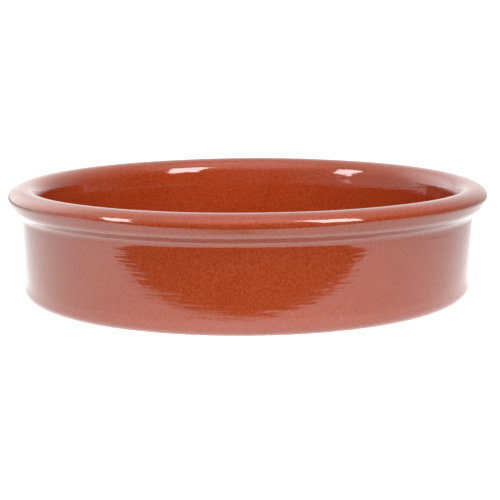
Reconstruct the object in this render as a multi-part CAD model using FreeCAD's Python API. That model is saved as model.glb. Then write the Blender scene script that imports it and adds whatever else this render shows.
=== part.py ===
import FreeCAD, Part
import math
import os

# Cazuela: a round, shallow dish of red clay, thrown and glazed in one piece with its thick rolled rim.
# Millimetres and degrees, +Z up. The origin is the centre of the base.

# Overall
rim_diameter = 150.0
height = 35.0

# Wall. Both of its faces lean outwards from the vertical, the inner one more, so it thickens downwards
wall_thickness = 5.6            # at the neck, under the rim
wall_lean = 1.1
inner_lean = 4.0
foot_rounding = 3.5

# Rolled rim: a round lip inside, a shoulder that falls outwards from the crest to the edge, and an
# underside that turns back to the wall at the neck. Each drop is measured down from the crest.
shoulder_width = 2.5            # in from the edge
shoulder_drop = 2.1
edge_drop = 4.5                 # to the lower end of the upright edge
neck_drop = 8.9
rim_overhang = 4.3              # of the edge past the wall
lip_rounding = 5.0              # between the crest and the wall's inner face
crest_rounding = 4.9
edge_rounding = 1.9
belly_rounding = 4.0            # between the edge and the underside
cove_rounding = 2.7

# Floor
floor_thickness = 5.0
bowl_rounding = 4.9             # between the floor and the wall

# A rounding that turns further than this is made of equal arcs
longest_arc = 50.0


def point(radius, z):
    """A point of the section, which lies in the XZ plane."""
    return FreeCAD.Vector(radius, 0, z)


def half_turn(before, corner, after):
    """Half of the angle that the outline turns through at a corner, in radians."""
    return (corner - before).getAngle(after - corner) / 2


def rounded_chain(corners):
    """The edges that run from the first of the corners to the last, each given as (point, rounding).

    Where two roundings need more than the side between them, both shrink until they fit on it.
    """
    points = [place for place, radius in corners]
    triples = list(zip(points, points[1:], points[2:]))
    turns = [half_turn(*triple) for triple in triples]
    insets = [0] + [radius * math.tan(turn) for (place, radius), turn in zip(corners[1:], turns)] + [0]
    sides = [start.distanceToPoint(end) for start, end in zip(points, points[1:])]
    fits = [min(1, side / max(one + other, 1e-9)) for side, one, other in zip(sides, insets, insets[1:])]

    edges = []
    last_end = points[0]
    for index, (before, corner, after) in enumerate(triples, start=1):
        inset = insets[index] * min(fits[index - 1], fits[index])
        arc_start = corner + (before - corner).normalize() * inset
        arc_end = corner + (after - corner).normalize() * inset
        if last_end.distanceToPoint(arc_start) > 1e-6:
            edges.append(Part.LineSegment(last_end, arc_start).toShape())
        if inset > 0:
            edges += rounding(arc_start, corner, arc_end)
        last_end = arc_end
    edges.append(Part.LineSegment(last_end, points[-1]).toShape())
    return edges


def rounding(start, corner, end):
    """The arcs from start to end along the circle whose tangents there meet at the corner."""
    chord_middle = (start + end) / 2
    to_corner = corner - chord_middle
    half_chord = start.distanceToPoint(end) / 2
    turned = 2 * math.atan2(to_corner.Length, half_chord)
    sagitta = half_chord * math.tan(turned / 4)
    whole = Part.Arc(start, chord_middle + to_corner.normalize() * sagitta, end)

    count = math.ceil(math.degrees(turned) / longest_arc)
    first = whole.FirstParameter
    step = (whole.LastParameter - first) / (2 * count)
    stops = [whole.value(first + step * index) for index in range(2 * count + 1)]
    return [Part.Arc(*stops[2 * index:2 * index + 3]).toShape() for index in range(count)]


neck = point(rim_diameter / 2 - rim_overhang, height - neck_drop)


def outer_face(z):
    return neck - point(math.tan(math.radians(wall_lean)), 1) * (neck.z - z)


def inner_face(z):
    inner_neck = neck - point(wall_thickness, 0)
    return inner_neck - point(math.tan(math.radians(inner_lean)), 1) * (neck.z - z)


def rolled_rim():
    """The corners of the rim, from the neck out and over the crest."""
    rim_radius = rim_diameter / 2
    return [
        (neck, cove_rounding),
        (point(rim_radius, height - edge_drop), belly_rounding),
        (point(rim_radius, height - shoulder_drop), edge_rounding),
        (point(rim_radius - shoulder_width, height), crest_rounding),
        (inner_face(height), lip_rounding),
    ]


def dish():
    """The dish as one solid, turned about the Z axis."""
    base_middle = point(0, 0)
    floor_middle = point(0, floor_thickness)
    outline = rounded_chain([
        (base_middle, 0),
        (outer_face(0), foot_rounding),
        *rolled_rim(),
        (inner_face(floor_thickness), bowl_rounding),
        (floor_middle, 0),
    ])
    axis = Part.LineSegment(floor_middle, base_middle).toShape()
    section = Part.Face(Part.Wire([*outline, axis]))
    return section.revolve(base_middle, FreeCAD.Vector(0, 0, 1), 360)


os.makedirs("parts", exist_ok=True)
cazuela = dish()
cazuela.exportStep("parts/cazuela.step")

box = cazuela.optimalBoundingBox()
print("solids", len(cazuela.Solids), "valid", cazuela.isValid(), "closed", cazuela.isClosed())
print("volume", round(cazuela.Volume / 1000, 1), "cm3")
print("across", round(box.XLength, 3), "high", round(box.ZLength, 3))
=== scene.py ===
import math

import bmesh
import bpy
from mathutils import Matrix, Vector, noise


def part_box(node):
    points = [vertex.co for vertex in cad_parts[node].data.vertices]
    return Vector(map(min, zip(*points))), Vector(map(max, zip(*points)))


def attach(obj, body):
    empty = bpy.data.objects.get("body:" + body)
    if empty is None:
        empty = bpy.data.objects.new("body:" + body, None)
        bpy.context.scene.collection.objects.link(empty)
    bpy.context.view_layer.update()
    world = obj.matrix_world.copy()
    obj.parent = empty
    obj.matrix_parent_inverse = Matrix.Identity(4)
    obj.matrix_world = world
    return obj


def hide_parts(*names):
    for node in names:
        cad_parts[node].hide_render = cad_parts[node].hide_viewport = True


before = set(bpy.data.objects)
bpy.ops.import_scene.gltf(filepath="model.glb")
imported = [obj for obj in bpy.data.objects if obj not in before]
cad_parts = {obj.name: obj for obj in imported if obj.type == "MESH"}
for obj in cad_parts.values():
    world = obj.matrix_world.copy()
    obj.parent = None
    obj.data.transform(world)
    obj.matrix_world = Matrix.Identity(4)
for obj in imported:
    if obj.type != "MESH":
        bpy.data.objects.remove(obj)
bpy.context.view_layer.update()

# Metres, in the frame's own axes: +Z up, the camera on the -Y side
MM = 0.001

# The dish's section: the solid's, but for a tighter edge and a fuller underside to the rim, and the swell
# below. The rim's drops are measured down from its crest
dish_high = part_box("cazuela")[1]
RIM_RADIUS = dish_high.x
HEIGHT = dish_high.z
WALL_THICKNESS = 5.6 * MM
WALL_LEAN = math.radians(1.1)
INNER_LEAN = math.radians(4.0)
FOOT_ROUNDING = 3.5 * MM
SHOULDER_WIDTH = 2.5 * MM
SHOULDER_DROP = 2.1 * MM
EDGE_DROP = 3.5 * MM
NECK_DROP = 8.9 * MM
RIM_OVERHANG = 4.3 * MM
LIP_ROUNDING = 5.0 * MM
CREST_ROUNDING = 4.9 * MM
EDGE_ROUNDING = 1.8 * MM
BELLY_ROUNDING = 1.8 * MM
UNDERSIDE_WIDTH = 1.25 * MM
UNDERSIDE_DROP = 6.2 * MM
UNDERSIDE_ROUNDING = 4.0 * MM
COVE_ROUNDING = 2.7 * MM
FLOOR_THICKNESS = 5.0 * MM
BOWL_ROUNDING = 4.9 * MM

# The thrown wall swells a little inwards under the lip
SWELL = 0.6 * MM
SWELL_DROP = 8.5 * MM
SWELL_ROUNDING = 15 * MM

# The mesh
TURN_STEPS = 320
ARC_SEGMENTS = 8
LONGEST_SIDE = 2.0 * MM
SAME_PLACE = 0.001 * MM
BASE_SKIN = 0.05 * MM           # a face lower than this is the base's

# The turned rim has no sharp change of curve: its sides are cut short and evened out, and each time pushed
# back by about as much, so that it keeps its size
RIM_DEPTH = 12 * MM
RIM_SIDE = 0.35 * MM
SOFTEN = 0.5
PUSH_BACK = -0.52
SOFTENING_ROUNDS = 6

# What the potter's hand leaves. A start picks the pattern, and a pace is how fast it changes round the dish
RIM_SHIFT = 0.0169              # sideways, for each unit of height
ROUNDNESS_ERROR = 0.20 * MM
ROUNDNESS_START = Vector((3.1, 0.4, 0))
ROUNDNESS_PACE = 1.6
ROUNDNESS_TWIST = 0.8           # how far the pattern moves on between the base and the rim
RIM_WAVE = 0.08 * MM
WAVE_START = Vector((0.7, 5.2, 1.9))
WAVE_PACE = 2.2
RIM_SAG = 0.37 * MM             # of the rim at its left and right, against front and back
SAG_TILT = 0.15 * MM            # more on the right, less on the left
RIM_SHARE = 3                   # power of the height with which the wave and the sag grow towards the rim

# Red earthenware. Its grains are finer than this, and are drawn as coarse as the picture can show
CLAY_GRAIN = 0.6 * MM
CLAY_DETAIL = 1.0
CLAY_DARK, CLAY_DARK_AT = "#A2370D", 0.32
CLAY_LIGHT, CLAY_LIGHT_AT = "#B14E2B", 0.68

# The gloss glaze on it
GLAZE_CLOUD = 12 * MM
CLOUD_DETAIL = 2.0
CLOUD_SHARE = 0.15
MARK_LENGTH = 14 * MM
MARK_HEIGHT = 1.4 * MM
MARK_DEPTH = 0.06 * MM
MARK_DETAIL = 2.0
PEEL_SIZE = 2.0 * MM
PEEL_DEPTH = 0.02 * MM
PEEL_DETAIL = 0.0
GLAZE_ROUGHNESS = 0.07
GLAZE_IOR = 1.5

# The bare base. Real grains of sand are a few tenths of a millimetre: these are drawn coarser, to show
SAND_GRAIN = MM / 0.9
SAND_DETAIL = 3.0
BARE_DARK, BARE_DARK_AT = "#A45B3C", 0.35
BARE_LIGHT, BARE_LIGHT_AT = "#BD7350", 0.65
BARE_ROUGHNESS = 0.85
BARE_IOR = 1.45

# Studio. What the camera sees past the dish is white, and brightness 1 is white already
PAPER_WHITE = 1.5

# The table, as the glaze mirrors it: a glow with painted light, brighter towards the camera, and a little
# towards the left
TABLE_REACH = 12.0
TABLE_LEVEL = 2.1
TABLE_SLOPE = (-1.2, -6.0, 0.0)
TABLE_LEAST = 0.8
TABLE_MOST = 3.0

# Round the foot a painted shadow darkens its glow, with a painted gleam on the camera's side
FOOT_SHADE = 0.55
FOOT_SHADE_RANGE = (0.070, 0.086)
FOOT_GLEAM = 2.0
FOOT_GLEAM_RANGE = (0.068, 0.092)
GLEAM_SLOPE = (0.0, -14.0, 0.0)

# Its front edge has two sides, each with its turn in degrees and its softness, and a dark room beyond
TABLE_EDGE = -0.0942
LEFT_EDGE = (6.5, 0.009)
RIGHT_EDGE = (-11.5, 0.005)
BEYOND_TABLE = 0.04

# Its right-hand side is dim: painted shade, on a card that only the glaze mirrors
DIM_SIDE_START = 0.19
DIM_SIDE_WIDTH = 1.0
DIM_SIDE_DEPTH = 3.0
DIM_SIDE_LIFT = 0.2 * MM
DIM_SIDE_LEVEL = 0.7

# The light that the table's glow gives, near the dish and far from it
TABLE_LIGHT = (0.58, 0.12)
TABLE_LIGHT_RANGE = (0.07, 0.15)

# The tent round it, as the glaze mirrors it. A glow has an azimuth, an elevation, the cosine at its rim
# and a brightness
TENT_LEVEL = 0.6
TENT_SLOPE = (-0.46, 0.63, 0.5)
TENT_LEAST = 0.05
LEFT_GLOW = (-134, 18, 0.83, 1.2)
HIGH_GLOW = (16, 63, 0.70, 1.15)
TENT_LIGHT = 0.1                # the light that it gives

LAMP_DISTANCE = 1.0
LAMP_WIDTH = 0.5

# Camera. It was fitted to the photo, so its pixels are those of a picture 500 across
PHOTO_SIZE = 500
FOCAL_PIXELS = 1534.3
SENSOR_WIDTH = 36.0
NEAREST_SEEN = 0.01
CAMERA_DISTANCE = 487.7 * MM
CAMERA_ELEVATION = math.radians(8.723)
CAMERA_ROLL = math.radians(-0.37)
AIM_HEIGHT = 20 * MM
AIM_PIXEL_X = 246.2
AIM_PIXEL_Y = 228.4


def linear(hex_colour):
    """An sRGB hex colour as linear RGBA."""
    parts = [int(hex_colour[i:i + 2], 16) / 255 for i in (1, 3, 5)]
    return [p / 12.92 if p <= 0.04045 else ((p + 0.055) / 1.055) ** 2.4 for p in parts] + [1.0]


def add(tree, kind, inputs, **settings):
    """Adds a shader node. An input is given a value, or the socket that feeds it."""
    made = tree.nodes.new("ShaderNode" + kind)
    for name, value in settings.items():
        setattr(made, name, value)
    for name, value in inputs.items():
        if isinstance(value, bpy.types.NodeSocket):
            tree.links.new(value, made.inputs[name])
        else:
            made.inputs[name].default_value = value
    return made


def set_ends(ramp, dark, dark_at, light, light_at):
    """Gives a colour ramp its two colours and their places."""
    for end, colour, position in zip(ramp.elements, (dark, light), (dark_at, light_at)):
        end.position = position
        end.color = linear(colour)


def new_material(name):
    material = bpy.data.materials.new(name)
    material.use_nodes = True
    material.node_tree.nodes.clear()
    return material, material.node_tree


def link_mesh(name, bm, materials):
    """Puts a finished mesh in the scene."""
    mesh = bpy.data.meshes.new(name)
    bm.to_mesh(mesh)
    bm.free()
    for material in materials:
        mesh.materials.append(material)
    made = bpy.data.objects.new(name, mesh)
    bpy.context.scene.collection.objects.link(made)
    return made


# The dish's mesh


def section_corners():
    """(radius, height, rounding) of each corner, from the middle of the base out, over the rim and in."""
    neck_radius = RIM_RADIUS - RIM_OVERHANG
    neck_height = HEIGHT - NECK_DROP

    def outer(height):
        return neck_radius - math.tan(WALL_LEAN) * (neck_height - height)

    def inner(height):
        return neck_radius - WALL_THICKNESS - math.tan(INNER_LEAN) * (neck_height - height)

    return [
        (0, 0, 0),
        (outer(0), 0, FOOT_ROUNDING),
        (neck_radius, neck_height, COVE_ROUNDING),
        (RIM_RADIUS - UNDERSIDE_WIDTH, HEIGHT - UNDERSIDE_DROP, UNDERSIDE_ROUNDING),
        (RIM_RADIUS, HEIGHT - EDGE_DROP, BELLY_ROUNDING),
        (RIM_RADIUS, HEIGHT - SHOULDER_DROP, EDGE_ROUNDING),
        (RIM_RADIUS - SHOULDER_WIDTH, HEIGHT, CREST_ROUNDING),
        (inner(HEIGHT), HEIGHT, LIP_ROUNDING),
        (inner(HEIGHT - SWELL_DROP) - SWELL, HEIGHT - SWELL_DROP, SWELL_ROUNDING),
        (inner(FLOOR_THICKNESS), FLOOR_THICKNESS, BOWL_ROUNDING),
        (0, FLOOR_THICKNESS, 0),
    ]


def section_mesh():
    """The half-section as a chain of edges, its corners rounded and its rim evened out."""
    bm = bmesh.new()
    corners = section_corners()
    verts = [bm.verts.new((radius, 0, height)) for radius, height, rounding in corners]
    for start, end in zip(verts, verts[1:]):
        bm.edges.new((start, end))

    # How far from its corner each rounding starts, worked out while all the sides are whole
    insets = {}
    for vert, (radius, height, rounding) in zip(verts, corners):
        if rounding:
            one, other = [edge.other_vert(vert).co - vert.co for edge in vert.link_edges]
            insets[vert] = rounding / math.tan(one.angle(other) / 2)
    for vert, inset in insets.items():
        bmesh.ops.bevel(bm, geom=[vert], offset=inset, offset_type="OFFSET", affect="VERTICES",
                        segments=ARC_SEGMENTS, profile=0.5, material=-1)

    for edge in bm.edges[:]:
        in_rim = min(vert.co.z for vert in edge.verts) > HEIGHT - RIM_DEPTH
        cuts = math.ceil(edge.calc_length() / (RIM_SIDE if in_rim else LONGEST_SIDE)) - 1
        if cuts:
            bmesh.ops.subdivide_edges(bm, edges=[edge], cuts=cuts)
    rim = [vert for vert in bm.verts if vert.co.z > HEIGHT - RIM_DEPTH]
    for factor in (SOFTEN, PUSH_BACK) * SOFTENING_ROUNDS:
        bmesh.ops.smooth_vert(bm, verts=rim, factor=factor, use_axis_x=True, use_axis_z=True)
    return bm


def throw_by_hand(bm):
    """Moves the turned form a little out of true: it leans, and is neither quite round nor quite level."""
    for vert in bm.verts:
        radius = math.hypot(vert.co.x, vert.co.y)
        if radius < MM:
            continue            # on the axis, so it has no outward direction
        level = vert.co.z / HEIGHT
        out = Vector((vert.co.x / radius, vert.co.y / radius, 0))
        twist = Vector((0, 0, level * ROUNDNESS_TWIST))
        around = noise.noise(out * ROUNDNESS_PACE + ROUNDNESS_START + twist)
        wave = noise.noise(out * WAVE_PACE + WAVE_START)
        sag = (RIM_SAG + SAG_TILT * out.x) * out.x ** 2
        vert.co += out * around * ROUNDNESS_ERROR * level
        vert.co.z += (wave * RIM_WAVE - sag) * level ** RIM_SHARE
        vert.co.x += RIM_SHIFT * vert.co.z


def make_dish(glaze, bare_clay):
    """The section turned about the dish's axis, with its base left bare."""
    bm = section_mesh()
    bmesh.ops.spin(bm, geom=bm.verts[:] + bm.edges[:], cent=(0, 0, 0), axis=(0, 0, 1),
                   angle=math.tau, steps=TURN_STEPS, use_merge=True, use_duplicate=False)
    bmesh.ops.remove_doubles(bm, verts=bm.verts, dist=SAME_PLACE)
    throw_by_hand(bm)
    bmesh.ops.recalc_face_normals(bm, faces=bm.faces)
    for face in bm.faces:
        face.smooth = True
        face.material_index = 1 if face.calc_center_median().z < BASE_SKIN else 0
    return link_mesh("glazed_dish", bm, [glaze, bare_clay])


# Materials


def glazed_earthenware():
    """Clear gloss glaze, dipped and fired over thrown red earthenware.

    The glassy coat looks wet and mirrors its surroundings sharply. The clay's orange-brown shows through.
    """
    material, tree = new_material("clear_glaze_on_red_earthenware")
    place = add(tree, "TexCoord", {}).outputs["Object"]

    # Grains of the clay, and broad, faint clouds where the glaze is thicker
    grain = add(tree, "TexNoise", {"Vector": place, "Scale": 1 / CLAY_GRAIN, "Detail": CLAY_DETAIL})
    clouds = add(tree, "TexNoise", {"Vector": place, "Scale": 1 / GLAZE_CLOUD, "Detail": CLOUD_DETAIL})
    both = add(tree, "Mix", {"Factor": CLOUD_SHARE, "A": grain.outputs["Fac"], "B": clouds.outputs["Fac"]})
    tone = add(tree, "ValToRGB", {"Fac": both.outputs["Result"]})
    set_ends(tone.color_ramp, CLAY_DARK, CLAY_DARK_AT, CLAY_LIGHT, CLAY_LIGHT_AT)

    # Throwing marks: low ripples, much longer round the dish than they are high
    sizes = (1 / MARK_LENGTH, 1 / MARK_LENGTH, 1 / MARK_HEIGHT)
    along = add(tree, "Mapping", {"Vector": place, "Scale": sizes}).outputs["Vector"]
    marks = add(tree, "TexNoise", {"Vector": along, "Scale": 1.0, "Detail": MARK_DETAIL})
    rippled = add(tree, "Bump", {"Strength": 1.0, "Distance": MARK_DEPTH, "Height": marks.outputs["Fac"]})

    # Orange peel of the fired glaze
    peel = add(tree, "TexNoise", {"Vector": place, "Scale": 1 / PEEL_SIZE, "Detail": PEEL_DETAIL})
    skin = add(tree, "Bump", {"Strength": 1.0, "Distance": PEEL_DEPTH, "Height": peel.outputs["Fac"],
                              "Normal": rippled.outputs["Normal"]})

    shader = add(tree, "BsdfPrincipled", {
        "Base Color": tone.outputs["Color"],
        "Roughness": GLAZE_ROUGHNESS,
        "IOR": GLAZE_IOR,
        "Normal": skin.outputs["Normal"],
    })
    add(tree, "OutputMaterial", {"Surface": shader.outputs["BSDF"]})
    return material


def bare_earthenware():
    """The unglazed base: red earthenware, wiped clean before it was fired.

    It looks matt, paler than under the glaze and a little sandy.
    """
    material, tree = new_material("bare_red_earthenware")
    place = add(tree, "TexCoord", {}).outputs["Object"]
    grain = add(tree, "TexNoise", {"Vector": place, "Scale": 1 / SAND_GRAIN, "Detail": SAND_DETAIL})
    tone = add(tree, "ValToRGB", {"Fac": grain.outputs["Fac"]})
    set_ends(tone.color_ramp, BARE_DARK, BARE_DARK_AT, BARE_LIGHT, BARE_LIGHT_AT)
    shader = add(tree, "BsdfPrincipled", {
        "Base Color": tone.outputs["Color"],
        "Roughness": BARE_ROUGHNESS,
        "IOR": BARE_IOR,
    })
    add(tree, "OutputMaterial", {"Surface": shader.outputs["BSDF"]})
    return material


# Studio. Azimuths run from the camera's side (-Y) towards +X


def towards(azimuth, elevation):
    """The direction from the dish, given in degrees."""
    across, up = math.radians(azimuth), math.radians(elevation)
    return Vector((math.sin(across) * math.cos(up), -math.cos(across) * math.cos(up), math.sin(up)))


def facing_dish(azimuth, elevation, distance):
    away = towards(azimuth, elevation)
    return Matrix.Translation(away * distance) @ away.to_track_quat("Z", "Y").to_matrix().to_4x4()


def link_sheet(name, width, depth, material):
    """A flat sheet. The grid that it starts from is 1 across, because a grid's size is half its side."""
    bm = bmesh.new()
    bmesh.ops.create_grid(bm, x_segments=1, y_segments=1, size=0.5)
    bmesh.ops.scale(bm, vec=(width, depth, 1), verts=bm.verts)
    return link_mesh(name, bm, [material])


def by_ray(tree, seen, mirrored, matt):
    """One brightness for the camera, one for what mirrors it, and one for the light that it gives."""
    rays = add(tree, "LightPath", {})
    lit = add(tree, "Mix", {"Factor": rays.outputs["Is Glossy Ray"], "A": matt, "B": mirrored})
    shown = add(tree, "Mix", {"Factor": rays.outputs["Is Camera Ray"], "A": lit.outputs["Result"], "B": seen})
    return shown.outputs["Result"]


def slope(tree, place, direction, level=0.0):
    """The level, changed along a direction."""
    side = add(tree, "VectorMath", {0: place, 1: direction}, operation="DOT_PRODUCT")
    return add(tree, "Math", {0: side.outputs["Value"], 1: level}, operation="ADD").outputs["Value"]


def make_table():
    """A white table that glows, with its light and shade painted into the glow. Past its front edge the glaze
    mirrors a dark room.
    """
    material, tree = new_material("glowing_white_table")
    place = add(tree, "TexCoord", {}).outputs["Object"]

    # What runs smoothly from one value to another with the distance from the dish's middle
    radius = add(tree, "VectorMath", {0: place}, operation="LENGTH").outputs["Value"]
    # Painted shade round the foot, a painted gleam in front, and the light that the glow gives
    rings = (
        (FOOT_SHADE_RANGE, (FOOT_SHADE, 1.0)),
        (FOOT_GLEAM_RANGE, (FOOT_GLEAM, 0.0)),
        (TABLE_LIGHT_RANGE, TABLE_LIGHT),
    )
    shade, gleam, matt = [
        add(tree, "MapRange",
            {"Value": radius, "From Min": start, "From Max": end, "To Min": near, "To Max": far},
            interpolation_type="SMOOTHSTEP").outputs["Result"]
        for (start, end), (near, far) in rings
    ]

    # The painted slope of the table's glow, darkened by the painted shade and lifted by the painted gleam
    level = slope(tree, place, TABLE_SLOPE, TABLE_LEVEL)
    open_table = add(tree, "Clamp", {"Value": level, "Min": TABLE_LEAST, "Max": TABLE_MOST}).outputs["Result"]
    shaded = add(tree, "Math", {0: open_table, 1: shade}, operation="MULTIPLY").outputs["Value"]
    in_front = add(tree, "Clamp", {"Value": slope(tree, place, GLEAM_SLOPE)}).outputs["Result"]
    table = add(tree, "Math", {0: in_front, 1: gleam, 2: shaded}, operation="MULTIPLY_ADD").outputs["Value"]

    # How far inside each side of the front edge, in units of that side's softness
    sides = []
    for turn, softness in (LEFT_EDGE, RIGHT_EDGE):
        inwards = Matrix.Rotation(math.radians(turn), 3, "Z") @ Vector((0, 1 / softness, 0))
        sides.append(slope(tree, place, inwards, -inwards.y * TABLE_EDGE))
    inside = add(tree, "Math", {0: sides[0], 1: sides[1]}, operation="MAXIMUM").outputs["Value"]
    on_table = add(tree, "MapRange", {"Value": inside, "From Min": -1.0, "From Max": 1.0,
                                      "To Min": BEYOND_TABLE, "To Max": 1.0},
                   interpolation_type="SMOOTHSTEP").outputs["Result"]
    mirrored = add(tree, "Math", {0: table, 1: on_table}, operation="MULTIPLY").outputs["Value"]

    light = add(tree, "Emission", {"Strength": by_ray(tree, PAPER_WHITE, mirrored, matt)})
    add(tree, "OutputMaterial", {"Surface": light.outputs["Emission"]})
    link_sheet("studio_floor", TABLE_REACH, TABLE_REACH, material)


def make_tent():
    """A white tent, dark low on the camera's side, with one glow at the back left and one high in front."""
    world = bpy.data.worlds.new("white_tent")
    bpy.context.scene.world = world
    world.use_nodes = True
    tree = world.node_tree
    direction = add(tree, "TexCoord", {}).outputs["Generated"]
    even = slope(tree, direction, TENT_SLOPE, TENT_LEVEL)
    mirrored = add(tree, "Math", {0: even, 1: TENT_LEAST}, operation="MAXIMUM").outputs["Value"]
    for azimuth, elevation, rim_cosine, brightness in (LEFT_GLOW, HIGH_GLOW):
        nearness = slope(tree, direction, towards(azimuth, elevation))
        glow = add(tree, "MapRange", {"Value": nearness, "From Min": rim_cosine, "From Max": 1.0,
                                      "To Min": 0.0, "To Max": brightness},
                   interpolation_type="SMOOTHSTEP").outputs["Result"]
        mirrored = add(tree, "Math", {0: mirrored, 1: glow}, operation="ADD").outputs["Value"]
    background = tree.nodes["Background"].inputs
    tree.links.new(by_ray(tree, PAPER_WHITE, mirrored, TENT_LIGHT), background["Strength"])
    background["Color"].default_value = (1, 1, 1, 1)


def make_card(name, width, depth, brightness, matrix):
    """A card that only the glaze mirrors."""
    material, tree = new_material(name)
    light = add(tree, "Emission", {"Strength": brightness})
    add(tree, "OutputMaterial", {"Surface": light.outputs["Emission"]})
    card = link_sheet(name, width, depth, material)
    card.matrix_world = matrix
    card.visible_camera = False
    card.visible_diffuse = False
    card.visible_shadow = False
    card.visible_transmission = False


def make_dim_side():
    """A dim card that lies on the right-hand side of the table, as painted shade that the glaze mirrors."""
    middle = (DIM_SIDE_START + DIM_SIDE_WIDTH / 2, 0, DIM_SIDE_LIFT)
    make_card("dim_side_of_table", DIM_SIDE_WIDTH, DIM_SIDE_DEPTH, DIM_SIDE_LEVEL,
              Matrix.Translation(middle))


def make_softbox(name, azimuth, elevation, distance, width, height, turn, brightness):
    """A bright card that faces the dish."""
    place = facing_dish(azimuth, elevation, distance) @ Matrix.Rotation(math.radians(turn), 4, "Z")
    make_card(name, width, height, brightness, place)


def make_lamp(name, azimuth, elevation, power):
    """A broad soft lamp, which the glaze doesn't mirror."""
    lamp = bpy.data.lights.new(name, "AREA")
    lamp.shape = "DISK"
    lamp.size = LAMP_WIDTH
    lamp.energy = power
    made = bpy.data.objects.new(name, lamp)
    made.matrix_world = facing_dish(azimuth, elevation, LAMP_DISTANCE)
    made.visible_glossy = False
    bpy.context.scene.collection.objects.link(made)


def make_camera():
    """The camera, turned so that a point of the dish's axis comes to its own pixel."""
    camera = bpy.data.objects.new("camera", bpy.data.cameras.new("camera"))
    camera.data.sensor_width = SENSOR_WIDTH
    camera.data.lens = FOCAL_PIXELS / PHOTO_SIZE * SENSOR_WIDTH
    camera.data.clip_start = NEAREST_SEEN
    aim = Vector((0, 0, AIM_HEIGHT))
    away = Vector((0, -math.cos(CAMERA_ELEVATION), math.sin(CAMERA_ELEVATION)))
    tilt = math.atan((PHOTO_SIZE / 2 - AIM_PIXEL_Y) / FOCAL_PIXELS)
    pan = math.atan((PHOTO_SIZE / 2 - AIM_PIXEL_X) / FOCAL_PIXELS)
    turn = Matrix.Rotation(-pan, 4, "Z") @ Matrix.Rotation(math.pi / 2 - CAMERA_ELEVATION - tilt, 4, "X")
    roll = Matrix.Rotation(CAMERA_ROLL, 4, "Z")
    camera.matrix_world = Matrix.Translation(aim + away * CAMERA_DISTANCE) @ turn @ roll
    bpy.context.scene.collection.objects.link(camera)
    bpy.context.scene.camera = camera


dish = make_dish(glazed_earthenware(), bare_earthenware())
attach(dish, "root")
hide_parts("cazuela")
make_table()
make_tent()
make_lamp("front_lamp", azimuth=0, elevation=15, power=6.8)
make_lamp("key_lamp", azimuth=60, elevation=55, power=2.9)
make_lamp("fill_lamp", azimuth=-60, elevation=55, power=1.6)
make_lamp("top_lamp", azimuth=0, elevation=89, power=1.7)
make_lamp("back_lamp", azimuth=180, elevation=18, power=3.5)
make_softbox("right_softbox", azimuth=43, elevation=40, distance=0.52, width=0.17, height=0.37, turn=-4,
             brightness=16)
make_softbox("left_softbox", azimuth=-67, elevation=29, distance=1.8, width=0.42, height=1.15, turn=25,
             brightness=15)
make_dim_side()
make_camera()
bpy.context.scene.view_settings.view_transform = "Standard"
